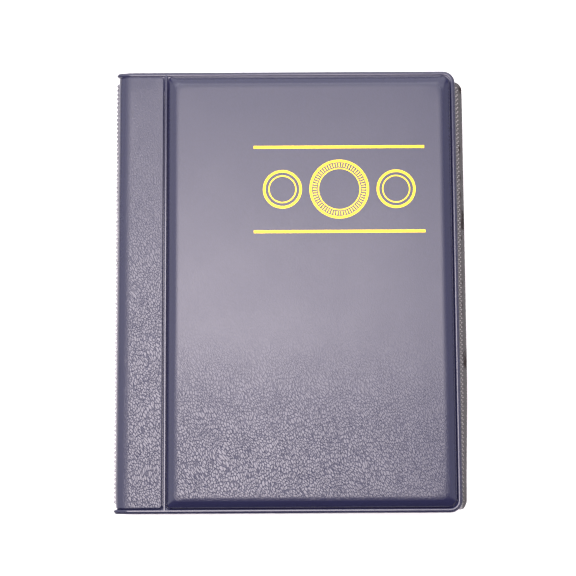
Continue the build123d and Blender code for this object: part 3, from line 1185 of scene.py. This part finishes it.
def root_tree():
    """A flat strip with one welded root bead for each leaf."""
    tree, given, output = start_tree(
        "leaf_roots",
        [
            ("Strip size", "NodeSocketVector", (MM, MM, MM)),
            ("Strip middle", "NodeSocketVector", (0, 0, 0)),
            ("First root", "NodeSocketVector", (0, 0, 0)),
            ("Root spacing", "NodeSocketVector", (0, 0, MM)),
            ("Root size", "NodeSocketVector", (MM, MM, MM)),
            ("Count", "NodeSocketInt", 10),
            ("Material", "NodeSocketMaterial", None),
        ],
    )
    bead = add_node(
        tree, "GeometryNodeMeshCylinder", {"Vertices": 8, "Radius": 0.5, "Depth": 1.0}
    )
    line = {
        "Count": given.outputs["Count"], "Start Location": given.outputs["First root"],
        "Offset": given.outputs["Root spacing"],
    }
    strip = box_and_row(
        tree, given.outputs["Strip size"], given.outputs["Strip middle"], line, bead,
        {"Rotation": (math.pi / 2, 0, 0)}, given.outputs["Root size"],
    )
    finish_tree(tree, output, strip, given.outputs["Material"])
    return tree


class ALBUM_OT_binding(bpy.types.Operator):
    """Makes the strip inside the spine that the leaves are welded to"""

    bl_idname = "album.binding"
    bl_label = "Binding strip"

    def execute(self, context):
        low, high = binding_low, binding_high
        first = joint_at[f"leaf_{LEAF_COUNT:02d}_turn"].z
        last = joint_at["leaf_01_turn"].z
        spacing = (last - first) / (LEAF_COUNT - 1)
        thick = 0.5 * MM
        inset = 1.3 * MM
        middle = (low.y + high.y) / 2
        piece = grown(
            "leaf_binding_strip",
            root_tree(),
            {
                "Strip size": (thick, high.y - low.y, high.z - low.z - 2 * inset),
                "Strip middle": (low.x + thick / 2, middle, (low.z + high.z) / 2),
                "First root": (low.x + thick, middle, first),
                "Root spacing": (0, 0, spacing),
                "Root size": (0.5 * MM, 0.7 * MM, high.y - low.y),
                "Count": LEAF_COUNT,
                "Material": clear_pvc("welded_clear_pvc", context.scene.album_colours.clear, 0.2, 1.5),
            },
        )
        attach(piece, "spine")
        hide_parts("binding_strip")
        return {"FINISHED"}


# ------------------------------------------------------------------ foil ornament
def ring_points(radius, count):
    turn = np.linspace(0, 2 * math.pi, count, endpoint=False)
    return np.stack([radius * np.cos(turn), radius * np.sin(turn)], axis=-1)


def add_prism(work, outline, low, high):
    """A closed flat prism over an outline that runs anticlockwise."""
    under = [work.verts.new((x, y, low)) for x, y in outline]
    over = [work.verts.new((x, y, high)) for x, y in outline]
    work.faces.new(over)
    work.faces.new(under[::-1])
    for i in range(len(outline)):
        j = (i + 1) % len(outline)
        work.faces.new((under[i], under[j], over[j], over[i]))


def add_ring(work, middle, outer, inner, low, high, count=72):
    """A closed flat ring."""
    loops = []
    for radius, level in ((outer, low), (outer, high), (inner, high), (inner, low)):
        points = ring_points(radius, count) + np.array(middle)
        loops.append([work.verts.new((x, y, level)) for x, y in points])
    for k in range(4):
        one, two = loops[k], loops[(k + 1) % 4]
        for i in range(count):
            j = (i + 1) % count
            work.faces.new((one[i], one[j], two[j], two[i]))


class ALBUM_OT_foil(bpy.types.Operator):
    """Stamps the plain foil ornament: three coin outlines between two rules"""

    bl_idname = "album.foil"
    bl_label = "Foil ornament"

    def execute(self, context):
        trim = context.scene.album_trim
        low, high = foil_low, foil_high
        middle_x, middle_y = (low.x + high.x) / 2, (low.y + high.y) / 2
        under = TOP_Z - 0.05 * MM
        over = TOP_Z + trim.foil_thickness
        work = bmesh.new()
        for y in (low.y, high.y - trim.rule_width):
            top = y + trim.rule_width
            corners = [(low.x, y), (high.x, y), (high.x, top), (low.x, top)]
            add_prism(work, corners, under, over)
        tall = high.y - low.y - 2 * trim.rule_width
        large, small = tall * 0.36, tall * 0.235
        reach = (high.x - low.x) / 2 - small
        for offset, radius in ((-reach * 0.86, small), (0, large), (reach * 0.86, small)):
            centre = (middle_x + offset, middle_y)
            add_ring(work, centre, radius, radius - trim.ring_width, under, over)
            inner = radius * 0.72
            add_ring(work, centre, inner, inner - trim.ring_width * 0.45, under, over)
        # Short reeds between the large coin's two rings
        tip, heel = large - trim.ring_width - 0.3 * MM, large * 0.72 + 0.35 * MM
        half = 0.16 * MM
        for reed in range(trim.reed_count):
            angle = 2 * math.pi * reed / trim.reed_count
            along = np.array([math.cos(angle), math.sin(angle)])
            side = np.array([-along[1], along[0]])
            centre = np.array([middle_x, middle_y])
            turns = ((heel, -half), (tip, -half), (tip, half), (heel, half))
            corners = [centre + along * out + side * across for out, across in turns]
            add_prism(work, corners, under, over)
        bmesh.ops.recalc_face_normals(work, faces=work.faces)
        piece = link_work("foil_ornament", work)
        set_material(piece, stamped_foil("hot_stamped_foil", context.scene.album_colours.foil))
        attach(piece, "front_cover")
        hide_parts("cover_foil")
        return {"FINISHED"}


# ------------------------------------------------------------------ stage
def area_light(name, place, aim, width, depth, power, tone):
    """A soft rectangular light that looks at a point."""
    data = bpy.data.lights.new(name, "AREA")
    data.shape = "RECTANGLE"
    data.size = width
    data.size_y = depth
    data.energy = power
    data.color = tone
    light = link_object(name, data)
    light.location = place
    light.rotation_euler = (Vector(aim) - Vector(place)).to_track_quat("-Z", "Y").to_euler()


class ALBUM_OT_stage(bpy.types.Operator):
    """Sets the floor, the soft lights and the camera"""

    bl_idname = "album.stage"
    bl_label = "Stage"

    def execute(self, context):
        scene = context.scene
        stage = scene.album_stage
        camera_data = bpy.data.cameras.new("camera")
        camera_data.lens = stage.lens
        camera_data.clip_start = 0.01
        camera = link_object("camera", camera_data)
        aim = Vector((-0.65 * MM, 0, TOP_Z))
        back = Vector((0, -math.cos(stage.elevation), math.sin(stage.elevation)))
        camera.location = aim + back * stage.distance
        roll = Quaternion((0, 0, 1), -stage.roll)
        camera.rotation_euler = ((-back).to_track_quat("-Z", "Y") @ roll).to_euler()
        scene.camera = camera

        bpy.ops.mesh.primitive_plane_add(size=0.9, location=(0, 0, 0))
        floor = context.object
        floor.name = "floor"
        set_material(floor, matt_floor("seamless_paper", scene.album_colours.floor))

        rose, cool = (1.0, 0.9, 0.93), (0.95, 0.93, 1.0)
        for name, place, aim, width, depth, glow, tone in (
            ("overhead", (-0.11, -0.085, 1.0), (-0.11, -0.085, 0), 0.56, 0.62, stage.overhead, rose),
            ("canopy", (-0.05, 0.45, 1.02), (-0.05, 0.45, 0), 1.0, 1.2, stage.canopy, cool),
            ("head", (0, 1.0, 0.65), (0, 0, 0), 1.8, 1.2, stage.head, cool),
            ("spine_side", (-0.85, 0.1, 0.6), (0, 0.1, 0), 1.2, 1.1, stage.spine_side, cool),
            ("fore_side", (0.85, 0.1, 0.6), (0, 0.1, 0), 1.2, 1.1, stage.fore_side, cool),
        ):
            area_light(name, place, aim, width, depth, glow * math.pi * width * depth, tone)
        world = bpy.data.worlds.new("surroundings")
        world.use_nodes = True
        shade = world.node_tree.nodes["Background"]
        shade.inputs["Color"].default_value = (0.92, 0.95, 1.0, 1.0)
        shade.inputs["Strength"].default_value = stage.world
        scene.world = world
        scene.view_settings.view_transform = "Standard"
        return {"FINISHED"}


class ALBUM_PT_panel(bpy.types.Panel):
    """Sizes, colours and build steps of the coin album"""

    bl_idname = "ALBUM_PT_panel"
    bl_label = "Coin album"
    bl_space_type = "VIEW_3D"
    bl_region_type = "UI"
    bl_category = "Coin album"

    def draw(self, context):
        scene = context.scene
        for group in (
            scene.album_cover, scene.album_leaf, scene.album_trim, scene.album_colours,
            scene.album_stage,
        ):
            box = self.layout.box()
            for prop in group.bl_rna.properties:
                if prop.identifier not in ("rna_type", "name"):
                    box.prop(group, prop.identifier)
        for operator in STEPS:
            self.layout.operator(operator.bl_idname)


GROUPS = {
    "album_cover": AlbumCoverSizes,
    "album_leaf": AlbumLeafSizes,
    "album_trim": AlbumTrimSizes,
    "album_colours": AlbumColours,
    "album_stage": AlbumStageSettings,
}
STEPS = (
    ALBUM_OT_skins,
    ALBUM_OT_linings,
    ALBUM_OT_stiffeners,
    ALBUM_OT_weld_strip,
    ALBUM_OT_binding,
    ALBUM_OT_leaves,
    ALBUM_OT_foil,
    ALBUM_OT_stage,
)


def register():
    for group in GROUPS.values():
        bpy.utils.register_class(group)
    for operator in STEPS:
        bpy.utils.register_class(operator)
    bpy.utils.register_class(ALBUM_PT_panel)
    for name, group in GROUPS.items():
        setattr(bpy.types.Scene, name, PointerProperty(type=group))


def unregister():
    for name in GROUPS:
        delattr(bpy.types.Scene, name)
    bpy.utils.unregister_class(ALBUM_PT_panel)
    for operator in reversed(STEPS):
        bpy.utils.unregister_class(operator)
    for group in reversed(list(GROUPS.values())):
        bpy.utils.unregister_class(group)


def main():
    register()
    bpy.ops.album.skins()
    bpy.ops.album.linings()
    bpy.ops.album.stiffeners()
    bpy.ops.album.weld_strip()
    bpy.ops.album.binding()
    bpy.ops.album.leaves()
    bpy.ops.album.foil()
    bpy.ops.album.stage()


if __name__ == "__main__":
    main()
